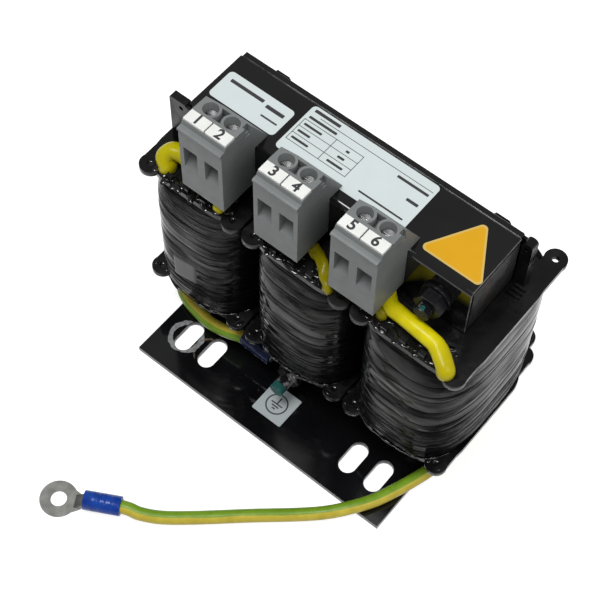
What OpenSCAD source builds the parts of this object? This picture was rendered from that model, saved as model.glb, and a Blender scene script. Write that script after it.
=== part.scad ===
// Three-phase line reactor: laminated core with three varnished coils, a terminal
// block for each phase, two foot brackets and an earth lead with a ring lug.
// The origin is on the floor under the middle of the core, with the terminals to -Y.

/* [Core] */
// Length of the lamination stack along X
core_w = 100; // [92:1:112]
// Width of each of the three limbs
limb_w = 20; // [16:0.5:22]
// Depth of the lamination stack along Y
stack_d = 21.8; // [18:0.2:26]
// Height of the lower and of the upper yoke
yoke_h = 19.5; // [17:0.5:23]
// Height of the limbs above the lower yoke
limb_h = 58.5; // [50:0.5:70]
// Thickness of the air-gap spacers on the limbs
gap_t = 1; // [0.5:0.1:2]

/* [Foot brackets] */
// Length of each foot bracket along X
foot_w = 101; // [95:1:116]
// Depth over both foot brackets along Y
foot_d = 90; // [84:1:110]
// Thickness of the bracket sheet
foot_t = 2; // [1.5:0.25:3]
// Height of the upright leg above the floor
foot_wall_h = 20; // [18:0.5:21]
// Inside radius of the bracket's bend
foot_bend_r = 2; // [1:0.5:3]
// Radius of the rear bracket's outer corners
foot_r = 4; // [1:0.5:6]
// Width of a fixing slot
slot_w = 6; // [4:0.5:7]
// Length of a fixing slot
slot_l = 12; // [8:0.5:14]
// Spacing of the inner pair of slots along X
slot_inner = 60; // [50:0.5:64]
// Spacing of the outer pair of slots along X
slot_outer = 80.5; // [78:0.5:86]
// Spacing of the front and rear rows of slots
slot_row = 62; // [58:0.5:66]

/* [Upper clamp] */
// Length of the folded cover on the upper yoke
cover_w = 100.8; // [96:0.2:112]
// Thickness of the folded cover
cover_t = 1.5; // [1:0.25:2]
// Thickness of the flat strip behind the upper yoke
strip_t = 2; // [1.5:0.25:3]
// Corner radius of the flat strip
strip_r = 0.5; // [0.2:0.1:3]

/* [Bobbins] */
// Thickness of the bobbin flanges
flange_t = 2; // [1.5:0.25:3]
// Reach of the flanges to the front of the middle plane
flange_front = 26.7; // [25:0.1:28]
// Reach of the flanges to the rear of the middle plane
flange_rear = 22; // [20:0.1:26]
// Corner radius of the bobbin flanges
flange_r = 11; // [8:0.5:13]
// Wall of the bobbin tube round the limb
tube_t = 1.5; // [1:0.25:2]
// Radius of the ears at the flange corners
ear_r = 3.6; // [3:0.1:4]
// Hole in each ear
ear_hole_d = 2.25; // [1.5:0.25:4]
// Distance of the ear holes from the middle plane
ear_y = 24.6; // [23:0.2:26]
// Thickness of the upright guide where it laps the yoke
guide_t = 1; // [0.8:0.1:1.6]
// Height of the upright guides above the flange
guide_h = 20.8; // [16:0.2:24]
// Width of the left guide's post
guide_w = 6.2; // [3:0.1:7]
// Width of the right guide's post
guide_rear_w = 3.5; // [3:0.1:5]

/* [Windings] */
// Depth of each winding along Y
coil_d = 59; // [56:0.5:64]
// Gap between neighbouring windings
coil_gap = 0.5; // [0.3:0.1:2]
// Number of wound bands that show on each coil
coil_bands = 11; // [6:1:14]
// Height of the groove between two bands
groove_h = 0.9; // [0.5:0.1:1.5]
// Depth of the groove between two bands
groove_d = 1; // [0.5:0.1:1.5]

/* [Terminal blocks] */
// Width of each two-pole block
block_w = 15.8; // [15:0.2:18]
// Depth of each block at its foot
block_d = 14.1; // [13:0.1:16]
// Height of the front face up to its lip
block_h = 27.3; // [24:0.1:30]
// Height of the hook's underside above the block's foot
hook_z = 16.2; // [15.4:0.1:18]
// Spacing of the blocks along X
block_pitch = 27.1; // [24:0.1:30]
// Place of the middle block along X
block_x = -6.3; // [-8:0.1:-5]
// Spacing of the two poles in a block
pole_pitch = 7.8; // [7:0.1:8.5]
// Bore that leads to each clamping screw
well_d = 4.8; // [4:0.1:5.2]
// Width of each wire entry
entry_w = 5; // [4.6:0.1:5.6]
// Height of each wire entry at its inner end
entry_h = 4.6; // [4.4:0.1:5.5]
// Thickness of the marker tags
tag_t = 1; // [0.6:0.1:1.2]

/* [Leads] */
// Outside diameter of the sleeved leads
lead_d = 4.8; // [4:0.1:5]

/* [Fasteners] */
// Thread diameter of the bolts
bolt_d = 5; // [4:0.5:5]
// Width across the flats of nuts and heads
nut_af = 8; // [7:0.5:9]
// Height of a nut
nut_h = 4; // [3:0.5:5]
// Height of a bolt head
head_h = 4; // [3:0.5:4.5]
// Outside diameter of the washers
washer_d = 10; // [9:0.5:12]
// Thickness of the washers
washer_t = 1.2; // [0.8:0.1:1.4]
// Length of thread that stands out of a nut
thread_out = 2.5; // [1:0.5:3]
// Distance of the clamping bolts from the ends of the core
bolt_inset = 10; // [8:0.5:12]

/* [Earth lead] */
// Place of the earth stud along X
earth_x = -1.5; // [-4:0.5:4]
// Thickness of the toothed washers on the earth stud
toothed_t = 1.5; // [1:0.1:1.5]
// Length of the stud beyond its outer nut
stud_out = 6; // [3:0.5:8]
// Outside diameter of a lug's ring
ring_d = 12.3; // [11:0.1:14]
// Hole in a lug's ring
ring_hole_d = 5.3; // [5.2:0.1:6.4]
// Thickness of the lug's sheet
lug_t = 0.8; // [0.6:0.1:1]
// Outside diameter of a lug's insulating sleeve
sleeve_d = 6.4; // [6:0.1:6.6]
// Length of a lug's insulating sleeve
sleeve_l = 12; // [11:0.5:13]
// Outside diameter of the earth wire
wire_d = 4.4; // [4:0.1:4.5]

/* [Hidden] */
$fn = 48;

// Clearances
slip = 0.3;
hole_slack = 0.4;
eps = 0.01;

// Heights from the floor up
core_z = foot_t;
limb_z = core_z + yoke_h;
gap_z = limb_z + limb_h;
upper_z = gap_z + gap_t;
cover_z = upper_z + yoke_h;
top_z = cover_z + cover_t;
lower_bolt_z = core_z + yoke_h / 2;
upper_bolt_z = upper_z + yoke_h / 2;

// Places along X and faces along Y
coil_pitch = (core_w - limb_w) / 2;
bolt_x = core_w / 2 - bolt_inset;
core_y = stack_d / 2;
cover_y = core_y + cover_t;
strip_y = core_y + strip_t;
foot_y = core_y + foot_t;

// Bobbin and winding
flange_w = coil_pitch - coil_gap;
bobbin_h = upper_z - limb_z - slip;
flange_z = limb_z + bobbin_h;
hollow_w = limb_w + 2 * slip;
hollow_d = stack_d + 2 * slip;
ear_x = flange_w / 2 - ear_r - 0.1;
start_x = -flange_w * 0.28;
start_y = 2.1 - ear_y;
finish_x = [11, 12.4, 13.6];
ear_draw = 1.3;
lead_hole_d = 3;
coil_z = limb_z + flange_t;
coil_h = bobbin_h - 2 * flange_t;
coil_w = coil_pitch - coil_gap;
coil_power = 3;
coil_sides = 40;
band_h = (coil_h - (coil_bands - 1) * groove_h) / coil_bands;

// Terminal blocks
block_y = -cover_y - block_d;
block_z = top_z - hook_z;
pole_y = block_y + block_d * 0.67;
well_depth = 5.2;
well_z = block_z + block_h + 1;
entry_top = block_z + block_h - 8.2;
entry_depth = 5;
cage_y = block_y + entry_depth;
cage_w = 5.4;
cage_l = 7.4;
cage_h = 8.4;
tag_z = block_z + block_h + 1.2;

// Leads
lead_y = block_y + block_d * 0.46;
lane_z = flange_z + lead_d / 2 + 0.05;
plug_in = 2.5;
lead_sides = 12;
lead_steps = 4;

// Earth stud: faces along -Y, from the bracket outwards
stud_face = foot_y;
inner_nut_y = stud_face + toothed_t;
lug_back_y = inner_nut_y + nut_h + toothed_t;
lug_face_y = lug_back_y + lug_t;
outer_nut_y = lug_face_y + toothed_t;
stud_tip_y = outer_nut_y + nut_h + stud_out;
sleeve_x = 8.3;
barrel_r = 2;

// Route of the earth wire: from the lug on the stud round the left end, behind the
// core, round the right end and over the front of the foot to the free lug
wire_sides = 10;
wire_route = [
    [-17, -23.1, 11.75], [-20, -23.1, 11.75], [-24, -23.1, 11.6], [-29, -23.3, 10.6],
    [-36, -23.8, 8.2], [-43, -23.8, 6], [-49, -22.3, 4.8], [-54, -18.5, 4],
    [-57.5, -12.5, 3.2], [-59.2, -5, 2.6], [-59.2, 4, 2.6], [-57.5, 12, 3.2],
    [-53.5, 18.5, 4], [-48, 23, 4.5], [-40, 25.5, 4.4], [-28, 26, 4.3],
    [-14, 26, 4.3], [0, 26, 4.3], [12, 26, 4.3], [24, 26, 4.3],
    [35.4, 25.7, 4.3], [44.6, 23.4, 4.4], [52.4, 15.8, 4.4], [53.5, 7, 3.4],
    [53.4, -2, 3], [53.2, -11, 3.6], [52.2, -19, 4.4], [50, -26.5, 4.4],
    [47.6, -33, 4.4], [44.8, -39.5, 4.4], [41, -46.5, 4.3], [36, -52.5, 3.2],
    [29.6, -57.6, 2.4], [17.4, -67.6, 2.3], [5.9, -78.2, 2.3], [-6.2, -88, 2.6],
    [-13, -89.8, 3.1], [-15.6, -91.3, 3.2], [-18.8, -93.1, 3.2]
];
free_end = [-15.7, -91.3];
free_turn = 209;

steel_black = [0.07, 0.07, 0.08];
varnish_black = [0.1, 0.1, 0.11];
plastic_black = [0.13, 0.13, 0.14];
spacer_tan = [0.72, 0.6, 0.4];
block_grey = [0.5, 0.52, 0.53];
tag_white = [0.95, 0.95, 0.93];
zinc = [0.7, 0.71, 0.72];
lead_yellow = [0.88, 0.8, 0.1];
sleeve_blue = [0.05, 0.2, 0.55];
earth_green = [0.45, 0.65, 0.15];

// Points of a rectangle with rounded corners
function rounded_rect(w, d, r, steps = 8) = [
    for (corner = [0:3])
        let (sx = corner == 0 || corner == 3 ? 1 : -1, sy = corner < 2 ? 1 : -1)
            for (i = [0:steps])
                let (turn = 90 * corner + 90 * i / steps)
                    [sx * (w / 2 - r) + r * cos(turn), sy * (d / 2 - r) + r * sin(turn)]
];

// Points of a squared ellipse, the plan of a thick winding on a square former
function squared_ellipse(w, d, power, sides) = [
    for (i = [0:sides - 1])
        let (c = cos(360 * i / sides), s = sin(360 * i / sides))
            [w / 2 * sign(c) * pow(abs(c), 2 / power), d / 2 * sign(s) * pow(abs(s), 2 / power)]
];

function unit(v) = v / norm(v);

// A point of the smooth curve through p[i] and p[i + 1]
function on_curve(p, i, t) =
    let (
        a = p[max(i - 1, 0)],
        b = p[i],
        c = p[i + 1],
        d = p[min(i + 2, len(p) - 1)]
    )
        0.5 * (2 * b + (c - a) * t + (2 * a - 5 * b + 4 * c - d) * t * t + (3 * b - 3 * c + d - a) * t * t * t);

function smooth(p, steps) = [
    for (i = [0:len(p) - 2])
        for (k = [0:steps - 1])
            on_curve(p, i, k / steps),
    p[len(p) - 1]
];

function tangents(p) = [
    for (i = [0:len(p) - 1])
        unit(p[min(i + 1, len(p) - 1)] - p[max(i - 1, 0)])
];

// Normals carried along the path without twist
function normals(t, first) = [
    for (i = 0, n = unit(first - (first * t[0]) * t[0]);
         i < len(t);
         i = i + 1, n = i < len(t) ? unit(n - (n * t[i]) * t[i]) : n)
        n
];

// Round tube swept along a path, from diameter d at its start to d_end at its end
module tube(path, d, sides, d_end) {
    t = tangents(path);
    n = normals(t, [0.2, 1, 0.3]);
    last = len(path) - 1;
    points = [
        for (i = [0:last])
            for (k = [0:sides - 1])
                let (turn = 360 * k / sides, r = (d + (d_end - d) * i / last) / 2)
                    path[i] + r * (cos(turn) * n[i] + sin(turn) * cross(t[i], n[i]))
    ];
    walls = [
        for (i = [0:last - 1])
            for (k = [0:sides - 1])
                let (a = i * sides + k, b = i * sides + (k + 1) % sides)
                    for (face = [[a, b + sides, b], [a, a + sides, b + sides]])
                        face
    ];
    ends = [
        [for (k = [0:sides - 1]) k],
        [for (k = [sides - 1:-1:0]) last * sides + k]
    ];
    polyhedron(points, concat(walls, ends), convexity = 6);
}

// Cylinder along Y, from the y given towards +Y
module rod_y(x, y, z, d, l) {
    translate([x, y, z])
        rotate([-90, 0, 0])
            cylinder(d = d, h = l);
}

// Hexagon bar along Y, with a flat side up
module hex_y(x, y, z, af, l) {
    translate([x, y, z])
        rotate([-90, 0, 0])
            cylinder(d = af / cos(30), h = l, $fn = 6);
}

module washer_y(x, y, z, d, t) {
    difference() {
        rod_y(x, y, z, d, t);
        rod_y(x, y - 1, z, bolt_d + hole_slack, t + 2);
    }
}

module nut_y(x, y, z) {
    difference() {
        hex_y(x, y, z, nut_af, nut_h);
        rod_y(x, y - 1, z, bolt_d + eps, nut_h + 2);
    }
}

// Plan drawn in X and Z, carried through along Y about the middle
module through_y(depth) {
    rotate([90, 0, 0])
        linear_extrude(height = depth, center = true)
            children();
}

// Side view drawn in Y and Z, carried along X about the middle
module along_x(width) {
    rotate([90, 0, 90])
        linear_extrude(height = width, center = true)
            children();
}

module e_core() {
    color(steel_black)
        through_y(stack_d)
            difference() {
                union() {
                    translate([-core_w / 2, core_z])
                        square([core_w, yoke_h]);
                    for (x = [-coil_pitch, 0, coil_pitch])
                        translate([x - limb_w / 2, limb_z - eps])
                            square([limb_w, limb_h + eps]);
                }
                for (x = [-bolt_x, earth_x, bolt_x])
                    translate([x, lower_bolt_z])
                        circle(d = bolt_d + hole_slack);
            }
}

module top_yoke() {
    color(steel_black)
        through_y(stack_d)
            difference() {
                translate([-core_w / 2, upper_z])
                    square([core_w, yoke_h]);
                for (x = [-bolt_x, bolt_x])
                    translate([x, upper_bolt_z])
                        circle(d = bolt_d + hole_slack);
            }
}

module gap_spacers() {
    color(spacer_tan)
        for (x = [-coil_pitch, 0, coil_pitch])
            translate([x - limb_w / 2, -stack_d / 2, gap_z])
                cube([limb_w, stack_d, gap_t]);
}

// Folded angle for the rear; the front one is its half turn
module foot_bracket() {
    leg_y = foot_d / 2;
    bend = foot_bend_r + foot_t;
    difference() {
        union() {
            along_x(foot_w) {
                translate([core_y + bend, 0])
                    square([leg_y - core_y - bend, foot_t]);
                translate([core_y, bend])
                    square([foot_t, foot_wall_h - bend]);
                translate([core_y + bend, bend])
                    intersection() {
                        difference() {
                            circle(r = bend);
                            circle(r = foot_bend_r);
                        }
                        translate([-bend, -bend])
                            square(bend);
                    }
            }
        }
        for (x = [-slot_outer / 2, -slot_inner / 2, slot_inner / 2, slot_outer / 2]) {
            translate([x - slot_w / 2, slot_row / 2 - (slot_l - slot_w) / 2, -1])
                cube([slot_w, slot_l - slot_w, foot_t + 2]);
            for (side = [-1, 1])
                translate([x, slot_row / 2 + side * (slot_l - slot_w) / 2, -1])
                    cylinder(d = slot_w, h = foot_t + 2);
        }
        for (x = [-bolt_x, bolt_x])
            rod_y(x, core_y - 1, lower_bolt_z, bolt_d + hole_slack, foot_t + 2);
    }
}

module foot_bracket_front() {
    color(steel_black)
        difference() {
            rotate([0, 0, 180])
                foot_bracket();
            rod_y(earth_x, -foot_y - 1, lower_bolt_z, bolt_d + hole_slack, foot_t + 2);
        }
}

module foot_bracket_rear() {
    color(steel_black)
        difference() {
            foot_bracket();
            rod_y(earth_x, core_y - 1, lower_bolt_z, bolt_d + hole_slack, foot_t + 2);
            for (side = [0, 1])
                mirror([side, 0, 0])
                    translate([foot_w / 2 - foot_r, foot_d / 2 - foot_r, -1])
                        difference() {
                            cube([foot_r + 1, foot_r + 1, foot_t + 2]);
                            translate([0, 0, -1])
                                cylinder(r = foot_r, h = foot_t + 4);
                        }
        }
}

// Folded sheet over the front and the top of the upper yoke
module top_cover() {
    color(steel_black)
        difference() {
            along_x(cover_w) {
                translate([-core_y, cover_z])
                    square([stack_d, cover_t]);
                translate([-cover_y, upper_z])
                    square([cover_t, yoke_h]);
                translate([-core_y, cover_z])
                    intersection() {
                        circle(r = cover_t);
                        translate([-cover_t, 0])
                            square(cover_t);
                    }
            }
            for (x = [-bolt_x, bolt_x])
                rod_y(x, -cover_y - 1, upper_bolt_z, bolt_d + hole_slack, cover_t + 2);
        }
}

module clamp_strip_rear() {
    color(steel_black)
        translate([0, core_y + strip_t / 2, 0])
            through_y(strip_t)
                difference() {
                    translate([0, (upper_z + top_z) / 2])
                        polygon(rounded_rect(core_w, top_z - upper_z, strip_r));
                    for (x = [-bolt_x, bolt_x])
                        translate([x, upper_bolt_z])
                            circle(d = bolt_d + hole_slack);
                }
}

// Place of an ear, from the signs of X and Y; rear ears are drawn in by the length given
function ear_at(c, draw) = [c[0] * (ear_x - (c[1] > 0 ? draw : 0)), c[1] * (ear_y - (c[1] > 0 ? draw : 0))];

// One flange in plan, with an ear at each of the corners given as signs of X and Y
module flange_plan(corners, draw = 0) {
    strap_w = 2 * ear_r - 0.4;
    strap_l = 13;
    difference() {
        union() {
            translate([0, (flange_rear - flange_front) / 2])
                polygon(rounded_rect(flange_w, flange_front + flange_rear, flange_r));
            for (c = corners)
                translate(ear_at(c, draw)) {
                    circle(r = ear_r);
                    translate([-strap_w / 2, c[1] > 0 ? -strap_l : 0])
                        square([strap_w, strap_l]);
                }
        }
        square([hollow_w, hollow_d], center = true);
        for (c = corners)
            translate(ear_at(c, draw))
                circle(d = ear_hole_d);
    }
}

// Upright guide at the outer end of a bobbin: a post beside the end of the yoke, a thin
// tongue that laps the clamped face given, and three short ribs at its foot
module bobbin_guide(post_w, height, post_r, face) {
    post_x0 = cover_w / 2 + slip - coil_pitch;
    post_y0 = core_y;
    tongue_y = face + slip / 2;
    tongue_l = 4.6;
    post_d = tongue_y + guide_t - post_y0;
    rib_l = 3.6;
    difference() {
        union() {
            translate([post_x0 + post_w / 2, tongue_y + guide_t - post_d / 2, flange_z + height / 2 - flange_t / 4])
                through_y(post_d)
                    polygon(rounded_rect(post_w, height + flange_t / 2, post_r));
            translate([post_x0 - tongue_l, tongue_y, flange_z - eps])
                cube([tongue_l + post_r + 0.1, guide_t, height - post_r]);
        }
        rod_y(post_x0 + 1.8, post_y0 - 1, flange_z + height - 2.6, 1.6, post_d + 2);
    }
    for (i = [1:3])
        translate([post_x0 + 1.4, post_y0 - 1.6 * i, flange_z - eps])
            cube([rib_l, 0.8, 1.2]);
}

module bobbin(x, rear_ears, guide) {
    tube_w = hollow_w + 2 * tube_t;
    tube_d = hollow_d + 2 * tube_t;
    tooth = [2.2, 1.4, 2];
    color(plastic_black)
        translate([x, 0, 0])
            difference() {
                union() {
                    translate([0, 0, limb_z])
                        linear_extrude(height = flange_t)
                            flange_plan([[-1, -1], [1, -1], [-1, 1], [1, 1]], ear_draw);
                    translate([0, 0, flange_z - flange_t])
                        linear_extrude(height = flange_t)
                            flange_plan(concat([[-1, -1], [1, -1]], rear_ears));
                    translate([0, 0, limb_z + flange_t / 2])
                        linear_extrude(height = bobbin_h - flange_t)
                            difference() {
                                square([tube_w, tube_d], center = true);
                                square([hollow_w, hollow_d], center = true);
                            }
                    for (step = [-1:1])
                        translate([step * 3 * tooth[0] - tooth[0], 0.6 - flange_front, flange_z - eps])
                            cube(tooth);
                    if (len(guide) > 0)
                        rotate([0, 0, guide[0]])
                            bobbin_guide(guide[1], guide[2], guide[3], guide[4]);
                }
                translate([start_x, start_y, flange_z - flange_t - 1])
                    cylinder(d = lead_hole_d, h = flange_t + 2);
            }
}

// A guide is given as its turn, width, height, corner radius and the face that it laps
module bobbin_left() bobbin(-coil_pitch, [], [180, guide_w, guide_h, 0.6, cover_y]);
module bobbin_middle() bobbin(0, [], []);
module bobbin_right() bobbin(coil_pitch, [[1, 1]], [0, guide_rear_w, guide_h - 0.7, 1.6, strip_y]);

// How much shallower the winding is at part t of its height, near its two ends
function coil_taper(t) = 4.4 * pow(max(0, t - 0.75) * 4, 1.5) + 2 * pow(max(0, 0.2 - t) * 5, 2);

// Winding of wide bands that stand a little proud of each other, with grooves between
module coil(x) {
    inner = [hollow_w + 2 * tube_t, hollow_d + 2 * tube_t];
    pitch = band_h + groove_h;
    color(varnish_black)
        translate([x, 0, coil_z]) {
            for (i = [0:coil_bands - 1])
                let (slack = 0.5 * pow(sin(137 * i + x), 2), taper = coil_taper(i / (coil_bands - 1)))
                    translate([0, 0, i * pitch])
                        linear_extrude(height = band_h)
                            difference() {
                                polygon(squared_ellipse(coil_w - slack, coil_d - taper - 2 * slack,
                                    coil_power, coil_sides));
                                square(inner, center = true);
                            }
            for (i = [0:coil_bands - 2])
                let (taper = max(coil_taper(i / (coil_bands - 1)), coil_taper((i + 1) / (coil_bands - 1))))
                    translate([0, 0, i * pitch + band_h])
                        linear_extrude(height = groove_h)
                            difference() {
                                polygon(squared_ellipse(coil_w - 2 * groove_d, coil_d - taper - 2 * groove_d - 1,
                                    coil_power, coil_sides));
                                square(inner, center = true);
                            }
        }
}

module coil_left() coil(-coil_pitch);
module coil_middle() coil(0);
module coil_right() coil(coil_pitch);

function block_at(i) = block_x + (i - 2) * block_pitch;
function pole_at(i, side) = block_at(i) + side * pole_pitch / 2;

// Side view of a terminal block: front lip, tag seat, tilted top and rear hook
function block_side() = [
    [0, 0],
    [0, block_h - 1.4],
    [-0.5, block_h - 1],
    [-0.5, block_h - 0.2],
    [0.3, block_h],
    [1.4, block_h],
    [1.9, tag_z - block_z],
    [6.1, tag_z - block_z],
    [6.1, block_h + 1.9],
    [12.1, block_h + 1.6],
    [block_d + 5.6, hook_z + 0.4],
    [block_d + 5.6, hook_z],
    [block_d, hook_z],
    [block_d, 0]
];

module terminal_block(i) {
    x = block_at(i);
    rim = well_d / 2 + 0.8;
    color(block_grey)
        difference() {
            translate([x, block_y, block_z])
                along_x(block_w)
                    polygon(block_side());
            for (side = [-1, 1])
                translate([pole_at(i, side), pole_y, 0]) {
                    translate([0, 0, well_z - well_depth])
                        cylinder(d = well_d, h = well_depth + 3);
                    translate([0, 0, entry_top - 1])
                        cylinder(d = 3.2, h = well_z - entry_top);
                }
            // Waist-shaped recess between the two screw wells
            difference() {
                translate([x - 2.6, pole_y - 2.3, well_z - 2.5])
                    cube([5.2, 4.6, 6]);
                for (side = [-1, 1])
                    translate([pole_at(i, side), pole_y, well_z - 3])
                        cylinder(r = rim, h = 8);
            }
            for (side = [-1, 1])
                wire_entry(pole_at(i, side));
            // Sockets for the two coil leads in the foot
            for (side = [-1, 1])
                translate([pole_at(i, side), lead_y, block_z - 1])
                    cylinder(d = lead_d + 2 * slip, h = plug_in + 1.5);
            // Notch at the end of the top's right-hand edge, and a groove that leads to it
            translate([x + block_w / 2 - 1, pole_y + 0.7, well_z - 2.5])
                cube([2, 2, 5]);
            translate([x + block_w / 2 - 0.35, pole_y - 2.4, well_z - 3.4])
                cube([2, 5.1, 0.9]);
            // Room at the back for the head of the left clamping bolt
            if (i == 1)
                bolt_room(-bolt_x);
        }
}

// Recess over a bolt head on the cover, open towards the block's foot
module bolt_room(x) {
    depth = washer_t + head_h + slip;
    room = washer_d + 2 * slip;
    rod_y(x, -cover_y - depth, upper_bolt_z, room, depth + 1);
    translate([x - room / 2, -cover_y - depth, block_z - 1])
        cube([room, depth + 1, upper_bolt_z - block_z + 1]);
}

// Funnel for one wire, with a floor that slopes out to the front, and the cage's chamber
module wire_entry(x) {
    translate([x, block_y, 0])
        along_x(entry_w)
            polygon([
                [-1, entry_top],
                [entry_depth + eps, entry_top],
                [entry_depth + eps, entry_top - entry_h],
                [0, entry_top - entry_h - 4.5],
                [-1, entry_top - entry_h - 5.4]
            ]);
    translate([x - cage_w / 2 - slip / 2, cage_y, entry_top - cage_h])
        cube([cage_w + slip, cage_l + slip, cage_h + eps]);
}

module marker_tags(i) {
    tag_l = block_w / 2 - 0.4;
    color(tag_white)
        for (side = [-1, 1])
            translate([block_at(i) + side * block_w / 4 - tag_l / 2, block_y + 2, tag_z])
                cube([tag_l, 4, tag_t]);
}

module terminal_screws(i) {
    head_z = well_z - well_depth;
    color(zinc)
        for (side = [-1, 1])
            translate([pole_at(i, side), pole_y, 0])
                difference() {
                    union() {
                        translate([0, 0, head_z])
                            cylinder(d = well_d - slip, h = 2.4);
                        translate([0, 0, entry_top - 1.4])
                            cylinder(d = 2.9, h = head_z - entry_top + 1.4 + eps);
                    }
                    translate([-well_d, -0.4, head_z + 1.4])
                        cube([2 * well_d, 0.8, 2]);
                }
}

// Metal cage that the screw draws up against the wire, open to the front
module clamp_cages(i) {
    wall = 0.9;
    color(zinc)
        for (side = [-1, 1])
            translate([pole_at(i, side) - cage_w / 2, cage_y + slip / 2, entry_top - cage_h])
                difference() {
                    cube([cage_w, cage_l, cage_h]);
                    translate([wall, -1, wall])
                        cube([cage_w - 2 * wall, cage_l + 2, cage_h - 2.4 * wall]);
                    translate([cage_w / 2, pole_y - cage_y - slip / 2, cage_h - 3])
                        cylinder(d = 3.1, h = 4);
                }
}

module terminal_block_1() terminal_block(1);
module terminal_block_2() terminal_block(2);
module terminal_block_3() terminal_block(3);
module marker_tags_1() marker_tags(1);
module marker_tags_2() marker_tags(2);
module marker_tags_3() marker_tags(3);
module terminal_screws_1() terminal_screws(1);
module terminal_screws_2() terminal_screws(2);
module terminal_screws_3() terminal_screws(3);
module clamp_cages_1() clamp_cages(1);
module clamp_cages_2() clamp_cages(2);
module clamp_cages_3() clamp_cages(3);

// Sleeved lead from a socket in a block's foot to a place on a bobbin's flange, by way
// of the points between, flattened where it meets the block's foot and the flange
module lead(i, side, way, end, d_end = lead_d) {
    x = pole_at(i, side);
    path = concat(
        [[x, lead_y, block_z + plug_in], [x, lead_y, block_z + 0.6]],
        way,
        [[end[0], end[1], flange_z + lead_d / 3], [end[0], end[1], flange_z - 1]]
    );
    color(lead_yellow) {
        difference() {
            tube(smooth(path, lead_steps), lead_d, lead_sides, d_end);
            translate([block_at(i) - block_w / 2 - slip, block_y - slip, block_z - slip / 3])
                cube([block_w + 2 * slip, block_d + slip, 2 * plug_in]);
            translate([end[0] - core_w, -cover_y - coil_d, flange_z + eps - yoke_h])
                cube([2 * core_w, coil_d, yoke_h]);
        }
        translate([x, lead_y, block_z - 1.2])
            cylinder(d = lead_d - slip, h = plug_in + 1.2);
    }
}

// Ends on flange i: at its lead hole, or at its front right-hand ear
function near_end(i) = [(i - 2) * coil_pitch + start_x, start_y];
function far_end(i) = [(i - 2) * coil_pitch + finish_x[i - 1], -ear_y];

module start_lead_1() {
    x = pole_at(1, -1);
    lead(1, -1, [[x - 2.2, lead_y + 0.6, lane_z], [x - 6, lead_y + 1.1, lane_z + 0.2],
        [x - 10.2, lead_y + 1.2, lane_z + 2.3], [x - 13.8, lead_y + 0.2, lane_z + 3],
        [near_end(1)[0] - 1.2, start_y + 0.7, lane_z + 1.2]], near_end(1), 1.26 * lead_d);
}
module start_lead_2() {
    x = pole_at(2, -1);
    lead(2, -1, [[x - 0.4, lead_y - 1.2, lane_z]], near_end(2));
}
// The third block's leads cross: this one passes behind its neighbour to the far end
module start_lead_3() {
    x = pole_at(3, -1);
    lead(3, -1, [[x + 1.2, lead_y + 3.2, lane_z], [x + 5, lead_y + 4.8, lane_z],
        [x + 9.4, lead_y + 4.85, lane_z], [x + 12.3, lead_y + 3, lane_z + 0.05],
        [x + 15.6, lead_y + 0.7, lane_z + 1.2], [x + 20, lead_y - 0.9, lane_z + 0.7],
        [x + 30, lead_y - 2.2, lane_z], [x + 34.6, lead_y - 3.2, lane_z]], far_end(3), 1.12 * lead_d);
}
module end_lead_1() {
    x = pole_at(1, 1);
    lead(1, 1, [[x + 0.2, lead_y - 2.4, lane_z]], far_end(1));
}
module end_lead_2() {
    x = pole_at(2, 1);
    lead(2, 1, [[x + 2.6, lead_y - 0.4, lane_z], [x + 8.6, lead_y - 2, lane_z]], far_end(2));
}
module end_lead_3() {
    x = pole_at(3, 1);
    lead(3, 1, [[x + 1.4, lead_y - 1.4, lane_z]], near_end(3));
}

// Clamping bolt along Y: head at y0 on the side given, tip at the length given
module bolt_y(x, z, y_head, y_tip) {
    toward = y_tip > y_head ? 1 : -1;
    rod_y(x, min(y_head, y_tip), z, bolt_d, abs(y_tip - y_head));
    hex_y(x, toward > 0 ? y_head - head_h : y_head, z, nut_af, head_h);
}

// The right bolt has its nut at the front, the left one its head, behind the block
module upper_bolts() {
    front = -cover_y - washer_t;
    rear = strip_y + washer_t;
    color(zinc) {
        bolt_y(bolt_x, upper_bolt_z, rear, front - nut_h - thread_out);
        bolt_y(-bolt_x, upper_bolt_z, front, rear + nut_h + slip);
    }
}

module upper_nuts() {
    color(zinc) {
        nut_y(bolt_x, -cover_y - washer_t - nut_h, upper_bolt_z);
        nut_y(-bolt_x, strip_y + washer_t, upper_bolt_z);
    }
}

module upper_washers() {
    color(zinc)
        for (x = [-bolt_x, bolt_x])
            for (y = [-cover_y - washer_t, strip_y])
                washer_y(x, y, upper_bolt_z, washer_d, washer_t);
}

module lower_bolts() {
    color(zinc)
        for (x = [-bolt_x, bolt_x])
            bolt_y(x, lower_bolt_z, -foot_y - washer_t, foot_y + washer_t + nut_h + thread_out);
}

module lower_nuts() {
    color(zinc)
        for (x = [-bolt_x, bolt_x])
            nut_y(x, foot_y + washer_t, lower_bolt_z);
}

module lower_washers() {
    color(zinc)
        for (x = [-bolt_x, bolt_x])
            for (y = [-foot_y - washer_t, foot_y])
                washer_y(x, y, lower_bolt_z, washer_d, washer_t);
}

module earth_stud() {
    color(zinc)
        bolt_y(earth_x, lower_bolt_z, foot_y + washer_t, -stud_tip_y);
}

module earth_nuts() {
    color(zinc)
        for (y = [inner_nut_y, outer_nut_y])
            nut_y(earth_x, -y - nut_h, lower_bolt_z);
}

module earth_washers() {
    color(zinc) {
        washer_y(earth_x, foot_y, lower_bolt_z, washer_d, washer_t);
        for (y = [stud_face, inner_nut_y + nut_h, lug_face_y])
            washer_y(earth_x, -y - toothed_t, lower_bolt_z, washer_d, toothed_t);
    }
}

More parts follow.
